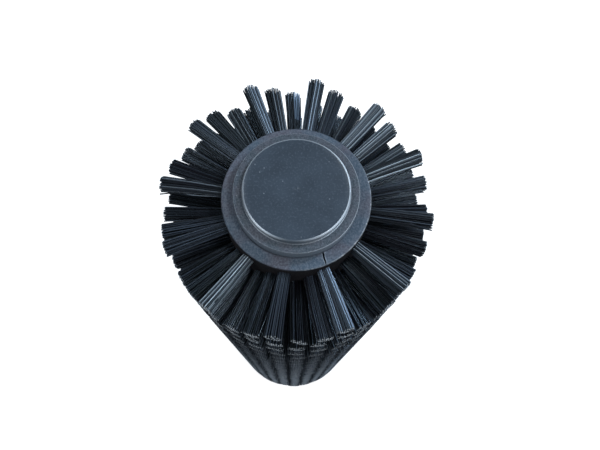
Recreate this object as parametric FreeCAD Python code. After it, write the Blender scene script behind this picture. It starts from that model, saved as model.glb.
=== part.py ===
# Roller brush: a drilled plastic core tube, closed at each end by a stepped plug,
# and set all round with tufts of stiff filament in staggered rows.
#
# Frame, in millimetres: the roller stands on its lower plug. The origin is the centre
# of that plug's flat face, and +Z runs up the roller's axis to the upper plug.
# Angles about Z are in degrees from +Y, anticlockwise seen from the upper plug.
import os

import FreeCAD, Part

# Core tube
core_radius = 40.0
core_length = 574.0
core_edge_chamfer = 1.0
tube_wall = 14.0

# End plug: a stepped head outside the tube, and a hollow spigot pressed into its bore
step_radius = 33.0
step_height = 8.6
step_edge_chamfer = 0.7
cap_radius = 28.0
cap_height = 4.4
cap_edge_chamfer = 0.6
plug_wall = 4.0
spigot_length = 24.0
spigot_clearance = 0.05
spigot_lead_in = 1.5

# Tufts: twelve in a row, each row turned one column on from the row above it
bristle_length = 35.0
tufts_per_row = 12
row_stagger = 3
row_count = 63
end_margin = 8.4
tuft_root_width = 7.0
tuft_tip_width = 9.0
first_tuft_angle = -8.8

# Split in the upper end of the tube, from the bore almost to the outer wall
split_angle = -157.1
split_width = 0.7
split_depth = 12.0
split_rim = 1.1
split_bend = -0.85

# Sizes and heights that follow
bore_radius = core_radius - tube_wall
tip_radius = core_radius + bristle_length
plug_height = step_height + cap_height
core_bottom = plug_height
core_top = core_bottom + core_length
column_count = tufts_per_row * row_stagger
column_angle = 360.0 / column_count
row_pitch = (core_length - 2 * end_margin) / (row_count - 1)

X_AXIS = FreeCAD.Vector(1, 0, 0)
Z_AXIS = FreeCAD.Vector(0, 0, 1)
ORIGIN = FreeCAD.Vector(0, 0, 0)


def revolve(section):
    """A solid of revolution about Z, from the (radius, height) corners of its half section."""
    corners = [FreeCAD.Vector(radius, 0, height) for radius, height in section]
    outline = Part.makePolygon(corners + corners[:1])
    return Part.Face(outline).revolve(ORIGIN, Z_AXIS, 360)


def split_blank():
    """The split in the tube's end: a thin, slightly bent sliver that closes to a point near the rim."""
    inner = bore_radius - split_width
    middle = (bore_radius + core_radius) / 2
    end = core_radius - split_rim
    half = split_width / 2
    sliver = [
        (half, inner),
        (split_bend + half, middle),
        (0, end),
        (split_bend - half, middle),
        (-half, inner),
    ]
    floor = core_top - split_depth
    corners = [FreeCAD.Vector(x, y, floor) for x, y in sliver]
    outline = Part.makePolygon(corners + corners[:1])
    blank = Part.Face(outline).extrude(Z_AXIS * (split_depth + split_width))
    return blank.rotate(ORIGIN, Z_AXIS, split_angle)


def core_tube():
    """The tube that carries the tufts, with chamfered outer edges and the split at its upper end."""
    chamfer = core_edge_chamfer
    tube = revolve([
        (bore_radius, core_bottom),
        (core_radius - chamfer, core_bottom),
        (core_radius, core_bottom + chamfer),
        (core_radius, core_top - chamfer),
        (core_radius - chamfer, core_top),
        (bore_radius, core_top),
    ])
    return tube.cut(split_blank())


def end_plug():
    """The upper plug in place: cap, step and hollow spigot, moulded as one piece."""
    spigot_radius = bore_radius - spigot_clearance
    hollow_radius = spigot_radius - plug_wall
    spigot_end = core_top - spigot_length
    step_top = core_top + step_height
    cap_top = core_top + plug_height
    return revolve([
        (0, cap_top),
        (cap_radius - cap_edge_chamfer, cap_top),
        (cap_radius, cap_top - cap_edge_chamfer),
        (cap_radius, step_top),
        (step_radius - step_edge_chamfer, step_top),
        (step_radius, step_top - step_edge_chamfer),
        (step_radius, core_top),
        (spigot_radius, core_top),
        (spigot_radius, spigot_end + spigot_lead_in),
        (spigot_radius - spigot_lead_in, spigot_end),
        (hollow_radius, spigot_end),
        (hollow_radius, cap_top - plug_wall),
        (0, cap_top - plug_wall),
    ])


def lower_plug():
    """The same plug turned over, at the roller's lower end."""
    middle = Z_AXIS * (core_bottom + core_length / 2)
    return end_plug().rotate(middle, X_AXIS, 180)


def tuft():
    """One tuft along Y at height zero: a four-sided taper that stands on the tube's surface
    and spreads from root to tip."""
    root = tuft_root_width / 2
    tip = tuft_tip_width / 2
    return Part.makeWedge(-root, core_radius, -root, -tip, -tip, root, tip_radius, root, tip, tip)


def tuft_column(pattern, column):
    """The tufts of one axial column: every third row, turned and raised to their places."""
    angle = first_tuft_angle - column * column_angle
    solids = []
    for row in range(column % row_stagger, row_count, row_stagger):
        height = core_top - end_margin - row * row_pitch
        copy = pattern.copy()
        copy.Placement = FreeCAD.Placement(Z_AXIS * height, FreeCAD.Rotation(Z_AXIS, angle))
        solids.append(copy)
    return Part.Compound(solids)


def main():
    """Build each sub-part and write it to its own file."""
    os.makedirs("parts", exist_ok=True)
    pieces = {
        "core_tube": core_tube(),
        "upper_end_plug": end_plug(),
        "lower_end_plug": lower_plug(),
    }
    pattern = tuft()
    for column in range(column_count):
        pieces[f"tuft_column_{column + 1:02d}"] = tuft_column(pattern, column)
    for name, shape in pieces.items():
        shape.exportStep(f"parts/{name}.step")
        print(name, len(shape.Solids), "solids", round(shape.Volume), "mm3")


main()
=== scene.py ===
# %% [markdown]
# # A roller brush
# The real roller is a plastic tube, drilled and filled with tufts of stiff black filament, with a
# stepped plug pressed into each end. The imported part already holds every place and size, so this
# lesson loads it first and then dresses it: the simple taper that stands for each tuft becomes a
# bundle of separate filaments, and the plugs and the tube get rounded edges, grain and wear.
# The part could also be measured by eye and rebuilt, but then nothing would be sure to fit.

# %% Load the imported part
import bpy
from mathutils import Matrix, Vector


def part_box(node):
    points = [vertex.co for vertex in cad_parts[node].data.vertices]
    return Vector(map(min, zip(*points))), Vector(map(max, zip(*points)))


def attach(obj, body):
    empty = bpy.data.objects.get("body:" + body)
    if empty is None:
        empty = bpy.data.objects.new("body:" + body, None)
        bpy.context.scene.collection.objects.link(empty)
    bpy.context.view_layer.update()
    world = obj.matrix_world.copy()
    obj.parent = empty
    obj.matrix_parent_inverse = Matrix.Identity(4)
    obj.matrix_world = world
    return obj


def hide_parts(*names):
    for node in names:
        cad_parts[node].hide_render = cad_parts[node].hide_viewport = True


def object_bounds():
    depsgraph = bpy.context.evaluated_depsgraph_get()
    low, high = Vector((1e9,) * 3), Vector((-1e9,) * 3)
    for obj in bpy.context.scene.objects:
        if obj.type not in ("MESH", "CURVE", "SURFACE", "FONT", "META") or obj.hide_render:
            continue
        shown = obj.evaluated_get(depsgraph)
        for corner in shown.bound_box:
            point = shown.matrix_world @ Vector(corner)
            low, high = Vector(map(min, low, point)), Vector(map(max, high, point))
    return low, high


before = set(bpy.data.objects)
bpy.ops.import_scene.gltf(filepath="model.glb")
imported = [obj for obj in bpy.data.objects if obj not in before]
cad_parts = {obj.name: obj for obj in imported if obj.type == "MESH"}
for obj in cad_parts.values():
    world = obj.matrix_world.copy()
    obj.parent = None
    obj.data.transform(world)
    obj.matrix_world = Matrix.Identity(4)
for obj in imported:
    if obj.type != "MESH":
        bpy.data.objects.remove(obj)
cad_low, cad_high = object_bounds()
print("packed part from", tuple(cad_low), "to", tuple(cad_high))

# %% [markdown]
# The script needs little else: numpy for whole-array geometry, and a few of Blender's own types.

# %% Modules
import math

import bpy
import numpy as np
from mathutils import Matrix, Vector

MM = 0.001
print("Blender", bpy.app.version_string, "numpy", np.__version__)

# %% [markdown]
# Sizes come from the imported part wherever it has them. Each node's box gives its lowest and highest
# corner, so the tube's ends, the rows of tufts and the overall length are read and not typed in.
# The sizes that a box can't give, such as the step's radius, are written once here.
#
# Angles run anticlockwise from +Y, seen from the upper end, as in the part.

# %% Sizes and the lattice of tufts
tube_low, tube_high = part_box("core_tube")
core_radius = tube_high.x
core_bottom, core_top = tube_low.z, tube_high.z
total_height = cad_high.z
middle_height = total_height / 2
plug_height = total_height - core_top

cap_radius = 28 * MM
cap_height = 4.4 * MM
step_radius = 33 * MM
bore_radius = 26 * MM
bristle_radius = 75 * MM
tolerance = 0.01 * MM

tufts_per_row = 12
row_stagger = 3
row_count = 63
column_count = tufts_per_row * row_stagger
column_angle = 360 / column_count
first_tuft_angle = -8.8
tuft_root_width = 7 * MM
tuft_tip_width = 9 * MM

first_row_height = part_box("tuft_column_01")[1].z - tuft_tip_width / 2
last_row_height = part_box("tuft_column_03")[0].z + tuft_tip_width / 2
row_pitch = (first_row_height - last_row_height) / (row_count - 1)
print("tube", round(core_top - core_bottom, 4), "m long, rows every", round(row_pitch / MM, 3), "mm")

# %% [markdown]
# ## The camera
# The photograph looks down at the roller from above its upper end, close enough for strong
# perspective: the far end is about three times as far off as the near one. A camera could be aimed
# by eye, but its place, its aim and its lens were fitted to the rings of the plug and to the outline
# instead, and the result is written as a place, two directions and a focal length in pixels.

# %% Camera
photo_width = 600
focal_length_pixels = 613.3
sensor_width = 36.0
camera_place = Vector((-0.00208, -0.10866, 0.89311))
view_direction = Vector((0.01257, 0.29154, -0.95648)).normalized()
image_up = Vector((-0.00383, 0.95656, 0.29152))


def looking_along(direction, up):
    """The 3 x 3 turn whose -Z axis is direction, and whose Y axis is up made square to it."""
    right = direction.cross(up).normalized()
    return Matrix((right, right.cross(direction), -direction)).transposed()


camera_data = bpy.data.cameras.new("camera")
camera_data.sensor_width = sensor_width
camera_data.lens = focal_length_pixels / photo_width * sensor_width
camera_data.clip_start = 0.01
camera = bpy.data.objects.new("camera", camera_data)
camera.matrix_world = Matrix.Translation(camera_place) @ looking_along(view_direction, image_up).to_4x4()
bpy.context.scene.collection.objects.link(camera)
bpy.context.scene.camera = camera
bpy.context.scene.view_settings.view_transform = "Standard"
print("lens", round(camera_data.lens, 2), "mm")

# %% [markdown]
# ## Meshes from arrays
# A mesh is two lists: where the points are, and which points each face joins. Adding faces one at a
# time is easy to read but slow, and there are nearly half a million here. So numpy works out both
# lists as whole arrays, and `foreach_set` copies each one into the mesh in a single step.

# %% A mesh piece from arrays
def make_piece(name, points, quads, triangles=()):
    """A mesh object from whole arrays: points is (n, 3) in metres, and each row of quads or triangles
    holds point numbers, anticlockwise seen from outside. Its faces are smooth-shaded."""
    quads = np.asarray(quads, np.int32).reshape(-1, 4)
    triangles = np.asarray(triangles, np.int32).reshape(-1, 3)
    corners = np.concatenate([quads.ravel(), triangles.ravel()])
    sides = np.repeat([4, 3], [len(quads), len(triangles)])
    mesh = bpy.data.meshes.new(name)
    mesh.vertices.add(len(points))
    mesh.vertices.foreach_set("co", np.asarray(points, np.float32).ravel())
    mesh.loops.add(len(corners))
    mesh.loops.foreach_set("vertex_index", corners)
    mesh.polygons.add(len(sides))
    mesh.polygons.foreach_set("loop_start", (np.cumsum(sides) - sides).astype(np.int32))
    mesh.polygons.foreach_set("use_smooth", np.ones(len(sides), bool))
    mesh.update(calc_edges=True)
    piece = bpy.data.objects.new(name, mesh)
    bpy.context.scene.collection.objects.link(piece)
    return piece


def add_attribute(piece, name, values, domain="POINT", kind="FLOAT"):
    """Stores a number or a direction for each point or face, for the material to read by name."""
    layer = piece.data.attributes.new(name, kind, domain)
    field = "value" if kind == "FLOAT" else "vector"
    layer.data.foreach_set(field, np.asarray(values, np.float32).ravel())


print("mesh helpers ready")

# %% [markdown]
# ## The floor and the background
# The photograph's ground is pure white. Brighter lamps would bleach the black plastic before they
# made a floor white, so the floor's own material does it: to the camera it adds a glow to what the
# lamps give, and to every other ray it is plain pale card. The glow leaves a faint shadow under
# the roller. The world does the same: white to the camera, soft studio light to the object. That light
# is brighter near the horizon, as pale walls are, and that draws the lines along every rounded edge.

# %% Floor and world
floor_half_width = 6.0
floor_drop = 0.1 * MM
floor_colour = (0.8, 0.8, 0.8, 1)
floor_glow = 0.78
world_light = (0.84, 0.93, 1.0, 1)
horizon_strength = 0.32
zenith_strength = 0.20


def set_inputs(node, inputs):
    """Fills a node's inputs. Each is a value, or a socket to link from."""
    for key, value in inputs.items():
        if isinstance(value, bpy.types.NodeSocket):
            node.id_data.links.new(value, node.inputs[key])
        else:
            node.inputs[key].default_value = value


def add_node(owner, kind, inputs, **fields):
    """Adds a node to a material or a world. Its kind is the type's name without ShaderNode."""
    node = owner.node_tree.nodes.new("ShaderNode" + kind)
    for field, value in fields.items():
        setattr(node, field, value)
    set_inputs(node, inputs)
    return node


def camera_ray(owner):
    """A socket that is 1 for rays from the camera and 0 for all others."""
    return add_node(owner, "LightPath", {}).outputs["Is Camera Ray"]


def floor_material():
    """Pale card, with a glow that only the camera sees."""
    material = bpy.data.materials.new("pale_floor")
    material.use_nodes = True
    material.node_tree.nodes.clear()
    card = add_node(material, "BsdfDiffuse", {"Color": floor_colour})
    strength = add_node(material, "Math", {0: camera_ray(material), 1: floor_glow}, operation="MULTIPLY")
    glow = add_node(material, "Emission", {"Strength": strength.outputs[0]})
    both = add_node(material, "AddShader", {0: card.outputs[0], 1: glow.outputs[0]})
    add_node(material, "OutputMaterial", {"Surface": both.outputs[0]})
    return material


def studio_world():
    """Soft light from everywhere, and plain white where the camera sees past the floor."""
    world = bpy.data.worlds.new("studio")
    world.use_nodes = True
    world.node_tree.nodes.clear()
    ray = add_node(world, "TexCoord", {}).outputs["Generated"]
    height = add_node(world, "SeparateXYZ", {0: ray}).outputs["Z"]
    inputs = {"Value": height, "To Min": horizon_strength, "To Max": zenith_strength}
    strength = add_node(world, "MapRange", inputs).outputs["Result"]
    light = add_node(world, "Background", {"Color": world_light, "Strength": strength})
    white = add_node(world, "Background", {"Color": (1, 1, 1, 1)})
    choose = add_node(world, "MixShader", {0: camera_ray(world), 1: light.outputs[0], 2: white.outputs[0]})
    add_node(world, "OutputWorld", {"Surface": choose.outputs[0]})
    return world


w = floor_half_width
floor_corners = [(-w, -w, -floor_drop), (w, -w, -floor_drop), (w, w, -floor_drop), (-w, w, -floor_drop)]
floor = make_piece("floor", floor_corners, [(0, 1, 2, 3)])
floor.data.materials.append(floor_material())
bpy.context.scene.world = studio_world()
print("floor", 2 * floor_half_width, "m wide")

# %% [markdown]
# ## Soft lamps
# Black filament shows mostly by its shine. A filament is a thin cylinder, so it lights up when the
# direction to the lamp plus the direction to the camera is square to its length. Three windows
# stand where the photograph's bright tufts and bright stretches of rim ask for them: one at the back
# on the right, one nearer the camera on the right, and one on the left. Two weaker patches of sky at
# the back reach the tufts that point away. Each lamp is given by its direction, its width and its
# brightness, and its power in watts follows: brightness times pi times its area.

# %% Lamps
lamp_distance = 1.6
aim = Vector((0, 0, core_top))


def softbox(name, direction, width, brightness, colour):
    """A square lamp that faces the roller's upper end from that direction."""
    data = bpy.data.lights.new(name, "AREA")
    data.shape = "SQUARE"
    data.size = width
    data.energy = brightness * math.pi * width * width
    data.color = colour
    towards = Vector(direction).normalized()
    facing = looking_along(-towards, Vector((0, 0, 1))).to_4x4()
    lamp = bpy.data.objects.new(name, data)
    lamp.matrix_world = Matrix.Translation(aim + towards * lamp_distance) @ facing
    bpy.context.scene.collection.objects.link(lamp)


softbox("window_blue", (0.606, 0.378, 0.701), 0.20, 84.0, (0.66, 0.82, 1.0))
softbox("window_front", (0.386, -0.199, 0.901), 0.24, 42.0, (0.92, 0.96, 1.0))
softbox("window_left", (-0.54, -0.16, 0.826), 0.34, 15.0, (0.92, 0.96, 1.0))
softbox("sky_right", (0.30, 0.46, 0.835), 0.26, 8.0, (0.92, 1.0, 0.98))
softbox("sky_left", (-0.36, 0.34, 0.869), 0.26, 11.0, (0.80, 0.90, 1.0))

# %% [markdown]
# ## Finishes
# Each finish is a small tree of nodes. Every pattern reads Object coordinates or an attribute stored
# with the mesh, so it stays on the surface when the camera or the roller moves. Colours are written as
# they look on a screen, from 0 to 255, and turned into the linear values that the shader works in.

# %% Node helpers
def screen_colour(red, green, blue):
    """Linear colour from screen values: each share of 255, plus 0.055, over 1.055, to the power 2.4."""
    shares = [((value / 255 + 0.055) / 1.055) ** 2.4 for value in (red, green, blue)]
    return (*shares, 1.0)


def new_finish(name):
    """A material with one Principled shader. Returns the material and its shader node."""
    material = bpy.data.materials.new(name)
    material.use_nodes = True
    return material, material.node_tree.nodes["Principled BSDF"]


def attribute(material, name):
    """The number stored with the mesh under that name."""
    return add_node(material, "Attribute", {}, attribute_name=name).outputs["Fac"]


def object_noise(material, scale, detail=2.0):
    """Cloudy noise from 0 to 1 in the object's own space: scale is in blobs per metre."""
    place = add_node(material, "TexCoord", {}).outputs["Object"]
    noise = add_node(material, "TexNoise", {"Vector": place, "Scale": scale, "Detail": detail})
    return noise.outputs["Fac"]


def remap(material, value, low, high, to_low, to_high):
    """Stretches low..high to to_low..to_high, and holds it there beyond both ends."""
    inputs = {"Value": value, "From Min": low, "From Max": high, "To Min": to_low, "To Max": to_high}
    return add_node(material, "MapRange", inputs).outputs["Result"]


def patches(material, scale, detail=2.0):
    """Soft patches: 0 where the noise is low and 1 where it is high, with a short fade between."""
    return remap(material, object_noise(material, scale, detail), 0.4, 0.6, 0, 1)


def fine_grain(material, most):
    """Grain of about a millimetre, from 0 up to most."""
    return remap(material, object_noise(material, 1100), 0.35, 0.75, 0, most)


def blend_colour(material, share, first, second):
    """first where share is 0, second where it is 1. A Mix node has sockets for each kind of value:
    its colours go in at 6 and 7, and come out at 2."""
    return add_node(material, "Mix", {"Factor": share, 6: first, 7: second}, data_type="RGBA").outputs[2]


def arithmetic(material, operation, first, second):
    """One Math node, such as ADD or MULTIPLY."""
    return add_node(material, "Math", {0: first, 1: second}, operation=operation).outputs[0]


def bump(material, height, distance):
    """A normal that tilts as height rises and falls by that distance in metres."""
    return add_node(material, "Bump", {"Height": height, "Distance": distance}).outputs["Normal"]


print("node helpers ready")

# %% [markdown]
# ** Filament.** Extruded nylon is black and fairly smooth. Its cut tip shows the pale, dull inside of the plastic, with a highlight painted over it, full on the upper layers of a tuft and halved on the lower ones as painted shade: that is the thin light line at the end of each tuft. The last millimetres are scuffed grey.
#
# One colour for all the filaments looks like paint, so each one carries numbers of its own. `tone` is how
# light it is at random, and it is cut back as painted shade on the sides of a prism that don't look up and
# in the dark gaps of a gleaming tuft. The pale share says how strongly a highlight is painted into its
# colour, and `blue` how blue that painted highlight is. `gloss` is -1 on a matt one, 0 on a dull one and 1
# on a smooth one. `cut_end` marks the cut faces, which carry painted light as well, `reach` runs from 0 at
# the root to 1 at the tip, and `dust` is the grey that has settled on the far rows; it fades towards each
# tuft's sides, and that paints shade into the grooves between columns. Drawn plastic blurs what it
# reflects across its length more than along it. Anisotropic does that, and `length` gives it the
# direction.

# %% Filament finish
filament_green = screen_colour(9, 14, 14)
filament_purple = screen_colour(15, 12, 18)
filament_light = screen_colour(58, 66, 77)
filament_scuffed = screen_colour(52, 58, 65)
filament_dusty = screen_colour(170, 179, 190)
# The next two colours are painted highlights, blended into the filaments of the tufts that gleam.
filament_highlight = screen_colour(186, 200, 212)
filament_blue_highlight = screen_colour(164, 196, 234)
# The cut end's colour is partly the cut plastic and partly a painted highlight.
filament_cut_highlight = screen_colour(232, 237, 242)
smooth_roughness = 0.20
dull_roughness = 0.42
matt_roughness = 0.9
filament_shine = 0.6
filament_stretch = 0.9
filament_tint = (0.68, 0.84, 1.0, 1.0)
quarter_turn = 0.25
tint_scale = 22
scuff_start = 0.97
most_scuffed = 0.6


def filament_finish():
    """Black filament that turns lighter, duller, dusty or pale where the attributes say so."""
    material, shader = new_finish("black_filament")
    length = add_node(material, "Attribute", {}, attribute_name="length").outputs["Vector"]
    dark = blend_colour(material, patches(material, tint_scale), filament_green, filament_purple)
    strand = blend_colour(material, attribute(material, "tone"), dark, filament_light)
    # The gleam is a painted highlight: a pale, partly blue streak blended into the base colour.
    highlight_streak = blend_colour(material, attribute(material, "blue"), filament_highlight, filament_blue_highlight)
    strand = blend_colour(material, attribute(material, "painted_highlight"), strand, highlight_streak)
    scuff = remap(material, attribute(material, "reach"), scuff_start, 1, 0, most_scuffed)
    side = blend_colour(material, scuff, strand, filament_scuffed)
    tip_dust = arithmetic(material, "MULTIPLY", attribute(material, "dust"), attribute(material, "reach"))
    side = blend_colour(material, tip_dust, side, filament_dusty)
    gloss = attribute(material, "gloss")
    dullness = remap(material, gloss, -1, 0, matt_roughness, dull_roughness)
    smoothness = remap(material, gloss, 0, 1, 0, dull_roughness - smooth_roughness)
    set_inputs(shader, {
        "Base Color": blend_colour(material, attribute(material, "cut_end"), side, filament_cut_highlight),
        "Roughness": arithmetic(material, "SUBTRACT", dullness, smoothness),
        "Specular IOR Level": filament_shine, "Specular Tint": filament_tint,
        "Anisotropic": filament_stretch, "Anisotropic Rotation": quarter_turn, "Tangent": length,
    })
    return material


filament = filament_finish()
print("finish", filament.name)

# %% [markdown]
# ** Moulded plug.** The cap is a satin, slightly cloudy blue-grey black with a few specks of dust. The step below it is left rough by the tool. The attribute `grain` is 0 on the cap and 1 on the step, and it turns up both the bump and the roughness. The polish marks the edges that handling has rubbed bright, with a painted highlight on top where lamps would catch them, and the upright walls carry painted light, which makes them lighter than the faces that look up.

# %% Plug finish
cap_colour = screen_colour(53, 63, 74)
cap_cloud = screen_colour(61, 72, 84)
cap_fleck = screen_colour(78, 89, 102)
step_colour = screen_colour(42, 56, 67)
step_mottle = screen_colour(54, 58, 69)
step_grain = screen_colour(100, 108, 120)
# Painted light on the upright walls, strongest on one side.
wall_light_colour = screen_colour(132, 144, 158)
speck_colour = screen_colour(160, 170, 182)
# Rubbed edges and painted highlights share this colour.
polish_highlight_colour = screen_colour(206, 216, 226)
cap_roughness = 0.22
step_roughness = 0.6
step_bump = 0.35 * MM


def specks(material, scale, size, share):
    """Small round dots: in each cell of a Voronoi pattern, 1 within size cells of the cell's own
    point, but only in the given share of the cells."""
    place = add_node(material, "TexCoord", {}).outputs["Object"]
    cells = add_node(material, "TexVoronoi", {"Vector": place, "Scale": scale})
    dot = remap(material, cells.outputs["Distance"], size * 0.5, size, 1, 0)
    pick = add_node(material, "SeparateColor", {"Color": cells.outputs["Color"]}).outputs["Red"]
    chosen = arithmetic(material, "LESS_THAN", pick, share)
    return arithmetic(material, "MULTIPLY", dot, chosen)


def plug_finish():
    """Satin cap and rough step in one moulding."""
    material, shader = new_finish("moulded_plug")
    grain = attribute(material, "grain")
    cloud = remap(material, object_noise(material, 70), 0.35, 0.65, 0, 1)
    cap = blend_colour(material, cloud, cap_colour, cap_cloud)
    fleck = remap(material, object_noise(material, 900, 3), 0.52, 0.75, 0, 0.8)
    cap = blend_colour(material, fleck, cap, cap_fleck)
    step = blend_colour(material, patches(material, 160, 3), step_colour, step_mottle)
    step = blend_colour(material, fine_grain(material, 0.7), step, step_grain)
    colour = blend_colour(material, grain, cap, step)
    colour = blend_colour(material, attribute(material, "painted_wall_light"), colour, wall_light_colour)
    colour = blend_colour(material, attribute(material, "polish_and_highlight"), colour, polish_highlight_colour)
    dust = arithmetic(material, "MULTIPLY", specks(material, scale=420, size=0.18, share=0.06), 0.4)
    rough = arithmetic(material, "MULTIPLY", object_noise(material, 1500, 3), grain)
    set_inputs(shader, {
        "Base Color": blend_colour(material, dust, colour, speck_colour),
        "Roughness": remap(material, grain, 0, 1, cap_roughness, step_roughness),
        "Normal": bump(material, rough, step_bump),
    })
    return material


plug_plastic = plug_finish()
print("finish", plug_plastic.name)

# %% [markdown]
# ** Tube plastic.** The end of the tube was sawn and turned, so it is matt and mottled, a little purple in one place and blue in the next. Handling has polished its outer edge unevenly and left small bright nicks there, and a painted highlight, with painted glints on the nicks, makes that edge brightest on one side. The foot of the step is darkened with painted shade, mostly on one side, and the lips of the split are paler where the plastic was strained. The wall between the tufts was never cut: it is plain black, a colour that also paints in the shade among the tufts. Attributes mark those places: the worn edge with its highlight, the shade at the step's foot, the stress and the shaded wall.

# %% Tube finish
tube_blue = screen_colour(61, 78, 94)
tube_purple = screen_colour(73, 73, 85)
tube_grain = screen_colour(116, 126, 139)
# The worn edge's colour is partly polish and partly a painted highlight; the nicks are partly painted
# glints.
tube_wear_highlight = screen_colour(206, 214, 222)
# Painted shade along the foot of the step.
step_foot_shade = screen_colour(40, 44, 52)
# The uncut wall is black plastic, and this near black also paints in the shade among the tufts.
tube_wall_shade = screen_colour(12, 7, 15)
stress_colour = screen_colour(150, 160, 172)
nick_glint_colour = screen_colour(240, 244, 248)
tube_shine = 0.35
face_roughness = 0.6
worn_roughness = 0.3
wall_dullness = 0.4
tube_bump = 0.4 * MM


def tube_finish():
    """Turned plastic: mottled, grained, with painted shade at the foot of the step and on the wall,
    polished and painted with a highlight at the edge, pale at the split.
    """
    material, shader = new_finish("turned_tube")
    colour = blend_colour(material, patches(material, 60, 3), tube_blue, tube_purple)
    colour = blend_colour(material, fine_grain(material, 0.6), colour, tube_grain)
    colour = blend_colour(material, attribute(material, "foot_shade"), colour, step_foot_shade)
    wear_and_highlight = attribute(material, "wear_and_highlight")
    broken = remap(material, object_noise(material, 350), 0.44, 0.56, 0.3, 0.9)
    colour = blend_colour(material, arithmetic(material, "MULTIPLY", wear_and_highlight, broken), colour, tube_wear_highlight)
    nick_glint = arithmetic(material, "MULTIPLY", specks(material, scale=500, size=0.42, share=0.6), wear_and_highlight)
    colour = blend_colour(material, nick_glint, colour, nick_glint_colour)
    colour = blend_colour(material, attribute(material, "stress"), colour, stress_colour)
    uncut_wall_shade = attribute(material, "uncut_wall_shade")
    rubbed = remap(material, wear_and_highlight, 0, 1, face_roughness, worn_roughness)
    dull = remap(material, uncut_wall_shade, 0, 1, 0, wall_dullness)
    set_inputs(shader, {
        "Base Color": blend_colour(material, uncut_wall_shade, colour, tube_wall_shade),
        "Roughness": arithmetic(material, "ADD", rubbed, dull), "Specular IOR Level": tube_shine,
        "Normal": bump(material, object_noise(material, 1200, 3), tube_bump),
    })
    return material


tube_plastic = tube_finish()
print("finish", tube_plastic.name)

# %% [markdown]
# ## Turned shapes
# The plugs and the tube are solids of revolution, so each is a section carried round the axis. Blender's
# Screw modifier could do that, but a grid worked out in numpy lets single points move afterwards,
# which the split in the tube's end needs. Real corners are never quite sharp: each corner of a
# section gets a small arc, and that arc draws the bright line round the cap.

# %% Rounded sections
def rounded(corners, radii, spacing, arc_steps=6):
    """A section's corners with arcs of the given radii. An arc's centre lies on the bisector of its
    corner, its ends touch both sides, and its points turn evenly from one end to the other. The
    straight runs between arcs are divided so that no two points are further apart than spacing."""
    corners = np.asarray(corners, float)
    stretches = []
    for k, (corner, radius) in enumerate(zip(corners, radii)):
        if radius == 0:
            stretches.append(corner[None])
            continue
        before = corners[k - 1] - corner
        after = corners[(k + 1) % len(corners)] - corner
        before, after = before / np.linalg.norm(before), after / np.linalg.norm(after)
        half = np.arccos(np.clip(before @ after, -1, 1)) / 2
        centre = corner + (before + after) / np.linalg.norm(before + after) * radius / np.sin(half)
        start = corner + before * radius / np.tan(half) - centre
        end = corner + after * radius / np.tan(half) - centre
        turn = math.pi - 2 * half
        share = np.linspace(0, 1, arc_steps + 1)[:, None]
        spokes = (np.sin((1 - share) * turn) * start + np.sin(share * turn) * end) / np.sin(turn)
        stretches.append(centre + spokes)
    filled = [stretches[0]]
    for stretch in stretches[1:]:
        gap = stretch[0] - filled[-1][-1]
        pieces = max(1, math.ceil(np.linalg.norm(gap) / spacing))
        filled.append(filled[-1][-1] + gap * (np.arange(1, pieces) / pieces)[:, None])
        filled.append(stretch)
    return np.concatenate(filled)


def ring_points(section, angles):
    """Section point i at angle j, in degrees: (-radius sin angle, radius cos angle, height)."""
    turn = np.radians(angles)
    radius, height = section.T[:, :, None]
    grid = np.stack([-radius * np.sin(turn), radius * np.cos(turn), height + 0 * turn], axis=-1)
    return grid.reshape(-1, 3)


def ring_quads(rows, columns, close=False):
    """The quads of that grid. The last column joins the first, and so does the last row if close."""
    i = np.arange(rows if close else rows - 1)[:, None]
    j = np.arange(columns)
    below = (i + 1) % rows
    beside = (j + 1) % columns
    corners = [i * columns + j, below * columns + j, below * columns + beside, i * columns + beside]
    return np.stack(corners, axis=-1).reshape(-1, 4)


def angle_from(angles, middle):
    """Each angle less the middle one, the short way round: from -180 to 180 degrees."""
    return (angles - middle + 180) % 360 - 180


def bell(angles, middle, width):
    """1 at the middle angle and less on both sides of it: e to the power -(distance / width) squared."""
    return np.exp(-(angle_from(angles, middle) / width) ** 2)


print("section helpers ready")

# %% [markdown]
# ## The end plugs
# One moulding makes the cap, the step and a hollow spigot that is pressed into the tube's bore. The
# spigot is hidden, but the piece keeps it, as a real plug has it. The section runs from the middle of
# the cap outwards, down and back to the axis inside the hollow. Where the plastic flowed in, in the
# middle of the cap, it has left a shallow round mark.

# %% The plug's section
cap_edge = 1.0 * MM
step_edge = 0.5 * MM
foot_fillet = 0.35 * MM
foot_reach = 0.5 * MM
plug_wall = 4 * MM
hollow_fillet = 0.5 * MM
spigot_length = 24 * MM
spigot_clearance = 0.05 * MM
spigot_lead_in = 1.5 * MM
pole_gap = 0.2 * MM
gate_radius = 1.6 * MM
gate_depth = 0.2 * MM
plug_spacing = 2.5 * MM
step_top = core_top + plug_height - cap_height
inside_top = total_height - plug_wall


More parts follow.
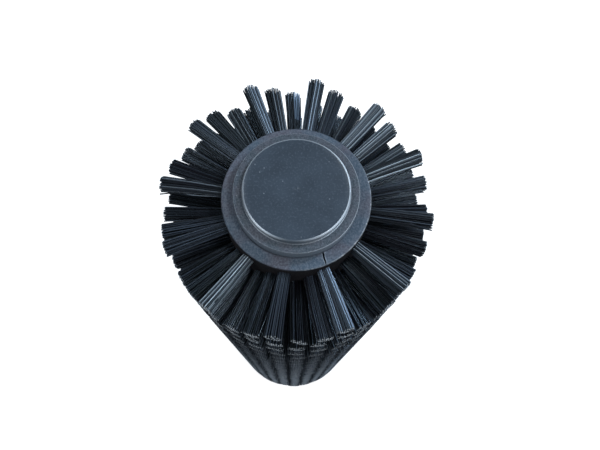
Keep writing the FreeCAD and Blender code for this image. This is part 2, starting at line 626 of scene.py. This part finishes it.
def plug_section():
    """The upper plug's radii and heights. The mark of the gate sinks by gate_depth times sin(pi s),
    where s rises from 0 at gate_radius to 1 on the axis."""
    spigot = bore_radius - spigot_clearance
    hollow = spigot - plug_wall
    spigot_end = core_top - spigot_length
    corners = [
        (pole_gap, total_height), (cap_radius, total_height), (cap_radius, step_top + foot_reach),
        (cap_radius, step_top), (cap_radius + foot_reach, step_top), (step_radius, step_top),
        (step_radius, core_top), (spigot, core_top),
        (spigot, spigot_end + spigot_lead_in), (spigot - spigot_lead_in, spigot_end),
        (hollow, spigot_end), (hollow, inside_top), (pole_gap, inside_top),
    ]
    radii = [0, cap_edge, 0, foot_fillet, 0, step_edge, 0, 0, 0, 0, 0, hollow_fillet, 0]
    section = rounded(corners, radii, plug_spacing)
    gate = np.clip(1 - section[:, 0] / gate_radius, 0, 1) * (section[:, 1] > step_top)
    section[:, 1] -= gate_depth * np.sin(gate * math.pi)
    return section


section = plug_section()
print(len(section), "points in the plug's section")

# %% [markdown]
# Handling hasn't rubbed the plug evenly, and light doesn't fall on it evenly either: its edges shine on
# some sides and are dull on others, and both go into the colour as polish, painted highlight and painted
# shade. Painting that by hand would tie it to one mesh. Here each rubbed and lit place is an angle, a
# width in degrees, and a share on the cap's wall and on the step's rim, and a bell-shaped curve spreads it
# over the points.

# %% Where the plug is rubbed and where highlight is painted
rubbed_highlight_places = ((-65, 28, 0.0, 0.6), (-130, 34, 0.45, 1.0), (-224, 20, 0.35, 0.1))
shaded_rim_angle = -182
shaded_rim_width = 22
shaded_rim_loss = 0.28
rim_least = 0.30
foot_least = 0.10
foot_rub = 1.6
step_least = 0.12
step_rub = 0.33
light_angle = -142
light_width = 26
light_least = 0.6
cap_wall_share = 0.4


def beside_corner(section, radius, height, reach):
    """1 up to three quarters of reach from that corner of the section, falling to 0 at reach."""
    distance = np.hypot(section[:, 0] - radius, section[:, 1] - height)
    return np.clip(4 - 4 * distance / reach, 0, 1)


def plug_marks(section, angles):
    """grain, the polish with its painted highlight, and the painted light on the upright walls, for each
    point of the section at each angle, then for the two poles.
    """
    on_cap = (section[:, 1] > step_top + foot_fillet) & (section[:, 0] <= cap_radius)
    cap_wall = np.abs(section[:, 0] - cap_radius) < tolerance
    step_wall = (np.abs(section[:, 0] - step_radius) < tolerance) & (section[:, 1] > core_top - tolerance)
    place, width, on_wall, on_step = np.array(rubbed_highlight_places).T[:, :, None]
    rubs = bell(angles, place, width)
    wall_rub = (rubs * on_wall).max(axis=0)
    # The rim's polish is partly wear and partly painted highlight: brightest at the rubbed places, and cut
    # back as painted shade round the dull angle.
    rim = rim_least + (1 - rim_least) * rubs.max(axis=0) - shaded_rim_loss * bell(angles, shaded_rim_angle, shaded_rim_width)
    foot = foot_least + foot_rub * wall_rub
    step = step_least + step_rub * (rubs * on_step).max(axis=0)
    polish_and_highlight = np.max([
        np.outer(beside_corner(section, cap_radius, total_height, cap_edge), rim),
        np.outer(beside_corner(section, cap_radius, step_top, foot_reach), foot),
        np.outer(beside_corner(section, step_radius, step_top, step_edge), step),
        np.outer(cap_wall, wall_rub),
    ], axis=0)
    grain = np.outer(~on_cap, np.ones(len(angles)))
    # The upright walls are painted lighter, most round the light angle: painted light.
    light = light_least + (1 - light_least) * bell(angles, light_angle, light_width)
    painted_wall_light = np.outer(cap_wall * cap_wall_share + step_wall, light)
    return {
        "grain": np.append(grain, [0, 1]),
        "polish_and_highlight": np.append(polish_and_highlight, [0, 0]),
        "painted_wall_light": np.append(painted_wall_light, [0, 0]),
    }


plug_columns = 160
angles = np.arange(plug_columns) * 360 / plug_columns
marks = plug_marks(section, angles)
print("the plug carries", ", ".join(marks))

# %% [markdown]
# Now the section goes round the axis. A ring shrunk to a point would leave faces with no area, so the
# first and last rings stay a little way out, and a fan of triangles joins each to one pole point. The
# lower plug is the same array turned over: a half turn about X swaps the sign of Y and of the height.

# %% Build the plugs
def plug_faces(rows):
    """The quads of the grid, and the fans at the cap's pole and at the pole in the hollow."""
    first = np.arange(plug_columns)
    second = (first + 1) % plug_columns
    cap_pole = rows * plug_columns
    last_ring = cap_pole - plug_columns
    cap_fan = [0 * first + cap_pole, first, second]
    hollow_fan = [0 * first + cap_pole + 1, last_ring + second, last_ring + first]
    return ring_quads(rows, plug_columns), np.hstack([cap_fan, hollow_fan]).T


poles = [[0, 0, total_height], [0, 0, inside_top]]
points = np.concatenate([ring_points(section, angles), poles])
turned_over = points * [1, -1, -1] + [0, 0, total_height]
quads, triangles = plug_faces(len(section))
for node, places in (("upper_end_plug", points), ("lower_end_plug", turned_over)):
    plug = make_piece(node + "_moulding", places, quads, triangles)
    for name, values in marks.items():
        add_attribute(plug, name, values)
    plug.data.materials.append(plug_plastic)
    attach(plug, "root")
    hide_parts(node)
    print(plug.name, len(plug.data.polygons), "faces")

# %% [markdown]
# ## The core tube
# The tube is a closed ring: its section goes out along the upper end face, down the wall, in along the
# lower face and up the bore. The split in the upper end face is real geometry. Its columns of points
# stand close together, every point within the split's width sinks, and those just beside it rise
# into a small lip. A painted line would look as dark from here, but not from a low angle.

# %% The split
split_angle = -156.4
split_slant = 1.5
split_width = 1.15 * MM
split_depth = 6 * MM
split_end_radius = 39.3 * MM
split_wall = 0.1 * MM
split_wave = 0.10 * MM
wave_turn = 9.0
lip_height = 0.14 * MM
lip_width = 0.40 * MM
split_half_span = 2.6
split_columns = 64
tube_columns = 150


def tube_angles():
    """Even columns round the tube, and close ones across the split."""
    near = np.linspace(split_angle - split_half_span, split_angle + split_half_span, split_columns)
    far = np.linspace(near[-1], near[0] + 360, tube_columns)[1:-1]
    return np.concatenate([near, far])


def split_shape(radius, angle):
    """How far each point sinks and rises, as shares. The split's middle line slants by split_slant
    degrees on its way out and waves a little. A point's distance from it is the angle between them
    times the radius. The width shrinks to nothing near the tube's edge as the fourth root of the
    share of the length that is left, so the end is blunt."""
    left = np.clip((split_end_radius - radius) / (split_end_radius - step_radius), 0, 1)
    wave = split_wave * np.sin(left * wave_turn)
    turn = angle_from(angle, split_angle + split_slant * (left - 0.5))
    distance = np.abs(np.radians(turn) * radius - wave)
    half = split_width / 2 * left ** 0.25
    sink = np.clip((half - distance) / split_wall, 0, 1)
    lip = np.exp(-(((distance - half) / lip_width) ** 2)) * (left > 0) * (sink == 0)
    return sink, lip


print(len(tube_angles()), "columns round the tube,", split_columns, "of them at the split")

# %% [markdown]
# The rest is wear and painted light. The tube's outer edge is rubbed on the side where it was handled,
# with a painted highlight there, painted shade darkens the foot of the step, mostly on one side, and the
# wall turns plain black just below the edge, which also paints in the shade among the tufts.

# %% Build the tube
tube_edge = 1.0 * MM
tube_spacing = 300 * MM
tube_arc_steps = 7
shelf_rings = 15
worn_lit_angle = -112
worn_half_span = 55
worn_most = 1.3
worn_ring = core_radius - 0.3 * tube_edge
worn_width = 0.5 * tube_edge
worn_depth = 2 * MM
foot_shade_width = 0.8 * MM
foot_shade_angle = -208
foot_shade_half_span = 36
foot_shade_least = 0.1
stress_most = 0.8
wall_fade = 0.8 * MM


def tube_piece():
    """The tube with its split, and the wear with its painted highlight, the painted shade at the step's
    foot, the stress and the shaded wall that its finish reads.
    """
    corners = [
        (bore_radius, core_top), (step_radius, core_top), (core_radius, core_top),
        (core_radius, core_bottom), (bore_radius, core_bottom),
    ]
    outline = rounded(corners, [0, 0, tube_edge, tube_edge, 0], tube_spacing, tube_arc_steps)
    shelf = np.linspace(outline[1], outline[2], shelf_rings + 2)[1:-1]
    section = np.concatenate([outline[:2], shelf, outline[2:]])
    angles = tube_angles()
    points = ring_points(section, angles)
    radius = np.repeat(section[:, 0], len(angles))
    height = np.repeat(section[:, 1], len(angles))
    angle = np.tile(angles, len(section))
    on_end = (height > core_top - tube_edge) & (radius > step_radius - tolerance)
    sink, lip = split_shape(radius, angle)
    points[:, 2] += on_end * (lip_height * lip - split_depth * sink)
    below_end = middle_height - plug_height - np.abs(height - middle_height)
    rim = np.clip(1 - np.abs(radius - worn_ring) / worn_width, 0, 1) * (below_end < worn_depth)
    # The edge is rubbed, and painted with a highlight, on the side round the worn angle.
    worn = np.clip(worn_most - np.abs(angle_from(angle, worn_lit_angle)) / worn_half_span, 0, 1)
    # Painted shade along the foot of the step, strongest on one side.
    beside_step = on_end * np.clip(1 - (radius - step_radius) / foot_shade_width, 0, 1)
    foot_shade_by_angle = foot_shade_least + (1 - foot_shade_least) * bell(angle, foot_shade_angle, foot_shade_half_span)
    piece = make_piece("core_tube_turned", points, ring_quads(len(section), len(angles), close=True))
    add_attribute(piece, "wear_and_highlight", rim * worn)
    add_attribute(piece, "foot_shade", beside_step * foot_shade_by_angle)
    add_attribute(piece, "stress", on_end * lip * stress_most)
    # The wall turns nearly black below the edge: its own black plus painted shade.
    add_attribute(piece, "uncut_wall_shade", np.clip(below_end / wall_fade, 0, 1))
    return piece


tube = tube_piece()
tube.data.materials.append(tube_plastic)
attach(tube, "root")
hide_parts("core_tube")
print(tube.name, len(tube.data.polygons), "faces")

# %% [markdown]
# ## The tufts
# A tuft is about sixty filaments, folded in half and stapled into a blind hole. Packed tight in the
# hole, they spread a little towards the tip, where the roller was trimmed to its round. A particle
# system could grow them, but their ends would be hard to place and it exports badly. So every
# filament is a thin four-sided prism on three rings of points, root, middle and tip, and one array
# holds all the filaments of a column of tufts at once.
#
# Across a tuft the filaments stand in nine stripes, on a square lattice cut to a circle. In its upper
# half each layer lies straight under the one above, so the gaps stay dark and draw the lines along a
# tuft. In its lower half every second layer is half a place further on, and closes the gaps from below.

# %% The filaments' places in a tuft
lattice_half = 4
stripe_count = 2 * lattice_half + 1
lattice_reach = math.sqrt(18)
filament_radius = 0.35 * MM
steps = np.arange(-lattice_half, lattice_half + 1)
lattice_x, lattice_z = [axis.ravel() for axis in np.meshgrid(steps, steps)]
inside = np.hypot(lattice_x, lattice_z) < lattice_reach + 0.01
shifted = 0.5 * ((lattice_z < 0) & (lattice_z % 2 == 1))
across = (lattice_x + shifted)[inside] / lattice_reach
along = lattice_z[inside] / lattice_reach
stripe = lattice_x[inside] + lattice_half
filaments_per_tuft = len(across)
print(filaments_per_tuft, "filaments a tuft,", filaments_per_tuft * tufts_per_row * row_count, "in all")

# %% [markdown]
# No two real tufts are alike. Each one leans a little, bows a little, and parts into a few strands where
# the filaments stick together, and each filament adds a small wander of its own. A few strays bend right
# out of the tuft. Further down the roller, where the photograph shows one soft mass, the tufts stand
# straighter and their ends are more even.
#
# The random numbers come from one generator with a fixed seed, so the brush is the same each time it
# is built. The order of the draws matters too: a new one in the middle would change all that follow.

# %% One column of tufts
generator = np.random.default_rng(1951)
root_depth = 1.0 * MM
lean_spread = 0.9 * MM
bow_spread = 0.15 * MM
parting = 0.55 * MM
partings = 3
parting_reach = 0.6
slant_spread = 0.21 * MM
wander = 0.03 * MM
wander_tip = 0.10 * MM
ragged = 1.1 * MM
dome = 0.3 * MM
first_worn_row = 4
worn_rows = 8
worn_lean_loss = 0.4
worn_spread = 0.25
worn_ragged_loss = 0.7
last_splay = 0.35
stray_share = 0.004
first_stray_share = 0.02
stray_bend = 2.4 * MM
stray_bow = 0.3


def filament_paths(column):
    """Root, middle and tip of each filament in a column, as (tuft, filament, ring, xyz) in metres.
    In a tuft's own frame x runs round the roller, y outwards and z up it. The root lies on a circle
    just inside the tube, the tip on the bristle circle less its raggedness, and the middle
    halfway between them, pushed aside by the bow."""
    rows = np.arange(column % row_stagger, row_count, row_stagger)
    shape = (len(rows), filaments_per_tuft)
    per_tuft = (len(rows), 1)
    worn = np.clip((rows[:, None] - first_worn_row) / worn_rows, 0, 1)
    lean = generator.normal(0, lean_spread, (len(rows), 2)) * (1 - worn_lean_loss * worn)
    bow = generator.normal(0, bow_spread, (len(rows), 2))
    root_half = tuft_root_width / 2 - filament_radius
    tip_half = (tuft_tip_width / 2 - filament_radius) * (1 + worn_spread * worn)
    root_x = across * root_half + generator.normal(0, wander, shape)
    root_z = along * root_half + generator.normal(0, wander, shape)
    splay = 1 + last_splay * (rows[:, None] >= row_count - row_stagger)
    tip_x = across * tip_half * splay + lean[:, :1] + generator.normal(0, wander_tip, shape)
    tip_z = along * tip_half + lean[:, 1:] + generator.normal(0, wander_tip, shape)
    for _ in range(partings):
        turn = generator.uniform(0, math.pi, per_tuft)
        width = parting / 2 * generator.random(per_tuft)
        place = generator.uniform(-parting_reach, parting_reach, per_tuft)
        side = np.sign(across * np.cos(turn) + along * np.sin(turn) - place)
        tip_x += width * side * np.cos(turn)
        tip_z += width * side * np.sin(turn)
    slant = generator.normal(0, slant_spread, per_tuft) * (across + 1)
    rough = ragged * generator.random(shape) ** 2 + dome * (across ** 2 + along ** 2) ** 2
    short = (rough + np.abs(slant)) * (1 - worn_ragged_loss * worn)
    root_y = np.sqrt((core_radius - root_depth) ** 2 - root_x ** 2)
    tip_y = np.sqrt((bristle_radius - short) ** 2 - tip_x ** 2)
    likely = np.where(rows[:, None] < row_stagger, first_stray_share, stray_share)
    stray = (generator.random(shape) < likely) * stray_bend
    stray = stray * generator.choice([-1, 1], shape)
    bow_x = bow[:, :1] + generator.normal(0, wander, shape) - stray * stray_bow
    bow_z = bow[:, 1:] + generator.normal(0, wander, shape)
    root = np.stack([root_x, root_y, root_z], axis=-1)
    tip = np.stack([tip_x, tip_y, tip_z], axis=-1)
    middle = (root + tip) / 2 + np.stack([bow_x, 0 * bow_x, bow_z], axis=-1)
    tip[..., 0] += stray
    return rows, np.stack([root, middle, tip], axis=2)


def filament_directions(paths):
    """The unit vector from each filament's root to its tip."""
    length = paths[:, :, 2] - paths[:, :, 0]
    return length / np.linalg.norm(length, axis=-1, keepdims=True)


print("tufts lean by", lean_spread / MM, "mm or so at the tip")

# %% [markdown]
# Each path becomes a prism. Four sides are few, but at this size a prism that is turned at random looks
# round, and there are 46,116 of them. Its corners stand a little outside the filament's radius, so
# that on average it is as wide as the round one.

# %% Prisms round the paths
sides = 4
rings = 3
corner_radius = filament_radius * 1.1
tip_bevel = 0.45
root_face = [[0, 1, 2, 3]]
tip_face = [[11, 10, 9, 8]]
k = np.arange(sides)
k_next = (k + 1) % sides
lower_band = np.stack([k, sides + k, sides + k_next, k_next], axis=-1)
prism_quads = np.concatenate([lower_band, lower_band + sides, tip_face, root_face])
face = np.arange(len(prism_quads))
lower_top, upper_top, cut_end = face == 0, face == sides, face == 2 * sides


def prism_points(paths, rows):
    """Four points round each ring of each path, in a plane square to the filament: the path's point
    plus the corner radius times (cos k p + sin k q), where p and q are square to its length. The
    tip ring leans back by tip_bevel times its height, so that the cut face looks a little upwards;
    further down, where the tips are worn round, it doesn't."""
    length = filament_directions(paths)
    p = np.cross(length, [0, 0, 1])
    p = p / np.linalg.norm(p, axis=-1, keepdims=True)
    q = np.cross(p, length)
    twist = generator.uniform(0, math.pi / 2, paths.shape[:2] + (1, 1))
    turn = twist + np.arange(sides)[:, None] * math.pi / 2
    offset = corner_radius * (np.cos(turn) * p[:, :, None] + np.sin(turn) * q[:, :, None])
    points = paths[:, :, :, None] + offset[:, :, None]
    bevel = tip_bevel * np.clip(1 - (rows - first_worn_row) / worn_rows, 0, 1).reshape(-1, 1, 1)
    points[:, :, 2, :, 1] -= bevel * (offset[..., 2] + corner_radius)
    return points


def turned(vectors, column):
    """Vectors turned about the axis to a column's angle."""
    turn = math.radians(first_tuft_angle - column * column_angle)
    x, y, z = vectors[..., 0], vectors[..., 1], vectors[..., 2]
    turned_x = x * math.cos(turn) - y * math.sin(turn)
    turned_y = x * math.sin(turn) + y * math.cos(turn)
    return np.stack([turned_x, turned_y, z], axis=-1)


def place_tufts(points, column, rows):
    """Turns a column's tufts to their angle round the axis and lifts each to its row."""
    height = (first_row_height - rows * row_pitch).reshape(-1, 1, 1, 1, 1)
    return turned(points + [0, 0, 1] * height, column).reshape(-1, 3)


def mark_sharp_ends(piece):
    """Makes the edges round both end faces of every filament sharp, so that the shading of its sides
    runs straight to the end. A point's ring is its number within the filament over the sides."""
    ends = np.zeros(2 * len(piece.data.edges), np.int32)
    piece.data.edges.foreach_get("vertices", ends)
    ring = ends.reshape(-1, 2) % (rings * sides) // sides
    piece.data.edges.foreach_set("use_edge_sharp", (ring[:, 0] == ring[:, 1]) & (ring[:, 0] != 1))


print("a filament has", len(prism_quads), "faces")

# %% [markdown]
# In the photograph some tufts near the upper end shine and their neighbours don't: it depends on how their
# filaments lie. Here that shine is a highlight painted into the filaments' colour, and each tuft that gets
# one stands in the table below, under its column and its row on the roller. Mostly only every second
# stripe takes the painted highlight, and the filaments between are matt and painted darker, as shade in
# the dark gaps between a real tuft's bright lines.

# %% The tufts with a painted highlight
def shine(strength, share, between, blue=0.0, from_side=-1.0, gap=0.0, near_root=1):
    """How strongly a highlight is painted on a tuft: its strength, the share of its stripes that take it,
    what is left of that on every second stripe, how blue it is, where it starts across the tuft from -1 to
    1, the half width of a dark gap in the middle, and whether the half near the root takes it too (1) or
    not (0)."""
    return strength, share, between, blue, from_side, gap, near_root


plain = shine(0, 0, 0)
painted_shine_tufts = {
    (0, 0): shine(0.70, 0.7, 0.10, blue=0.3),
    (1, 1): shine(0.40, 0.6, 0.10),
    (2, 2): shine(0.40, 0.6, 0.10),
    (3, 0): shine(0.85, 1.0, 0.22),
    (4, 1): shine(0.85, 1.0, 0.18),
    (5, 2): shine(0.50, 0.8, 0.15),
    (6, 0): shine(1.00, 1.0, 0.06, from_side=-0.3),
    (12, 0): shine(0.75, 0.6, 0.00, blue=0.1),
    (15, 0): shine(1.00, 1.0, 0.40, blue=0.6, gap=0.3),
    (21, 0): shine(1.00, 1.0, 0.07),
    (27, 0): shine(0.25, 0.7, 0.10),
    (31, 1): shine(0.50, 0.6, 0.10, blue=0.1),
    (32, 2): shine(0.60, 0.7, 0.15, blue=0.1),
    (33, 0): shine(1.00, 1.0, 0.22, blue=0.4, from_side=-0.6),
    (34, 1): shine(0.50, 0.8, 0.20, blue=0.2, from_side=-0.1),
    (35, 2): shine(0.90, 1.0, 1.00, blue=1.0, from_side=0.0, near_root=0),
}
print(len(painted_shine_tufts), "tufts shine")

# %% [markdown]
# The numbers that the finish reads are worked out as one array for the whole column, from the row, from
# the filament's place in its tuft, and from chance. Only the side of a prism that looks up takes the full
# tone and the painted highlight. The other sides are painted darker, as shade, and that keeps a tuft from
# looking like one flat strip.

# %% What each face carries
tone_mean = 0.25
tuft_tone_spread = 0.20
own_tone_spread = 0.45
# The tone on the sides of a prism that don't look up is cut to this share: painted shade.
shaded_side_tone = 0.4
gloss_power = 0.7
first_even_row = 3
even_rows = 7
first_dusty_row = 5
dusty_rows = 40
# Dust fades by this share towards each tuft's sides, which paints shade into the grooves between columns.
groove_shade_loss = 0.95
lit_cut_layers = 0.3
highlight_layers = -0.1
matt_below = 0.15
# Between the lit stripes of a gleaming tuft the filaments turn matt, and their tone drops by this share:
# painted shade in the gaps.
gap_shade_loss = 0.7


def face_marks(column, rows):
    """The numbers that the filament finish reads, each as (tuft, filament, face)."""
    shape = (len(rows), filaments_per_tuft, 1)
    x, z, depth = across[:, None], along[:, None], rows[:, None, None]
    even = np.clip((depth - first_even_row) / even_rows, 0, 1)
    dusty = np.clip((depth - first_dusty_row) / dusty_rows, 0, 1)
    # Cut ends: the plastic's own paler colour plus painted light, full on the upper layers and half on the
    # lower ones as painted shade.
    cut = generator.uniform(0.3, 1.0, shape) * np.where(z > lit_cut_layers, 1, 0.5) * (1 - even)
    tuft_tone = generator.normal(0, tuft_tone_spread, (len(rows), 1, 1))
    own_tone = generator.normal(0, own_tone_spread, shape)
    tone = np.clip(tone_mean + (tuft_tone + own_tone) * (1 - even), 0, 1)
    gloss = generator.random(shape) ** gloss_power * (1 - even)
    settings = np.array([painted_shine_tufts.get((column, row), plain) for row in rows])
    strength, share, between, blue, from_side, gap, near_root = settings.T[:, :, None, None]
    stripes = generator.random((len(rows), stripe_count, 1)) < share
    stripes = stripes * generator.uniform(0.5, 1, stripes.shape)
    stripes[:, 1::2] *= between
    # Painted highlight: the lit stripes take the pale colour, and only on the upper layers, as if the
    # lower ones lay in shade.
    lit = stripes[:, stripe] * (x > from_side) * (np.abs(x) >= gap)
    # Filaments left out of the painted highlight turn matt, and darker as painted shade.
    matt_and_shaded = (lit < matt_below) * strength * (1 - between)
    marks = {
        "cut_end": cut * cut_end,
        "tone": tone * (1 - gap_shade_loss * matt_and_shaded) * np.where(lower_top | upper_top, 1, shaded_side_tone),
        "gloss": gloss - (gloss + 1) * matt_and_shaded,
        "painted_highlight": strength * lit * (z > highlight_layers) * (near_root * lower_top + upper_top),
        "blue": blue,
        "dust": dusty * (1 - groove_shade_loss * x ** 2),
    }
    return {name: np.broadcast_to(values, shape[:2] + face.shape) for name, values in marks.items()}


def reach_marks(rows):
    """How far along its filament each point is, as (tuft, filament, ring, side): 0 at the root, 0.5 in
    the middle and 1 at the tip, or only scuff_start at the tip of the far rows, which aren't scuffed."""
    even = np.clip((rows - first_even_row) / even_rows, 0, 1)
    reach = np.stack([0 * even, 0 * even + 0.5, 1 - (1 - scuff_start) * even], axis=-1)
    return np.broadcast_to(reach[:, None, :, None], (len(rows), filaments_per_tuft, rings, sides))


print("dust is full from row", first_dusty_row + dusty_rows)

# %% [markdown]
# Now each column is built and takes the place of the plain tapers. Its points go in as one block, and the
# faces are the same ten for every filament, moved on by twelve points each time.

# %% Build the columns
points_each = rings * sides
total = 0
for column in range(column_count):
    rows, paths = filament_paths(column)
    count = len(rows) * filaments_per_tuft
    quads = (np.arange(count)[:, None, None] * points_each + prism_quads).reshape(-1, 4)
    name = f"tuft_column_{column + 1:02d}"
    bristles = make_piece(name + "_filaments", place_tufts(prism_points(paths, rows), column, rows), quads)
    for mark, values in face_marks(column, rows).items():
        add_attribute(bristles, mark, values, "FACE")
    add_attribute(bristles, "reach", reach_marks(rows))
    lengths = turned(filament_directions(paths), column).reshape(-1, 3)
    add_attribute(bristles, "length", np.repeat(lengths, points_each, axis=0), kind="FLOAT_VECTOR")
    mark_sharp_ends(bristles)
    bristles.data.materials.append(filament)
    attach(bristles, "root")
    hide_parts(name)
    total += 2 * len(quads)
print(column_count, "columns,", total, "triangles")
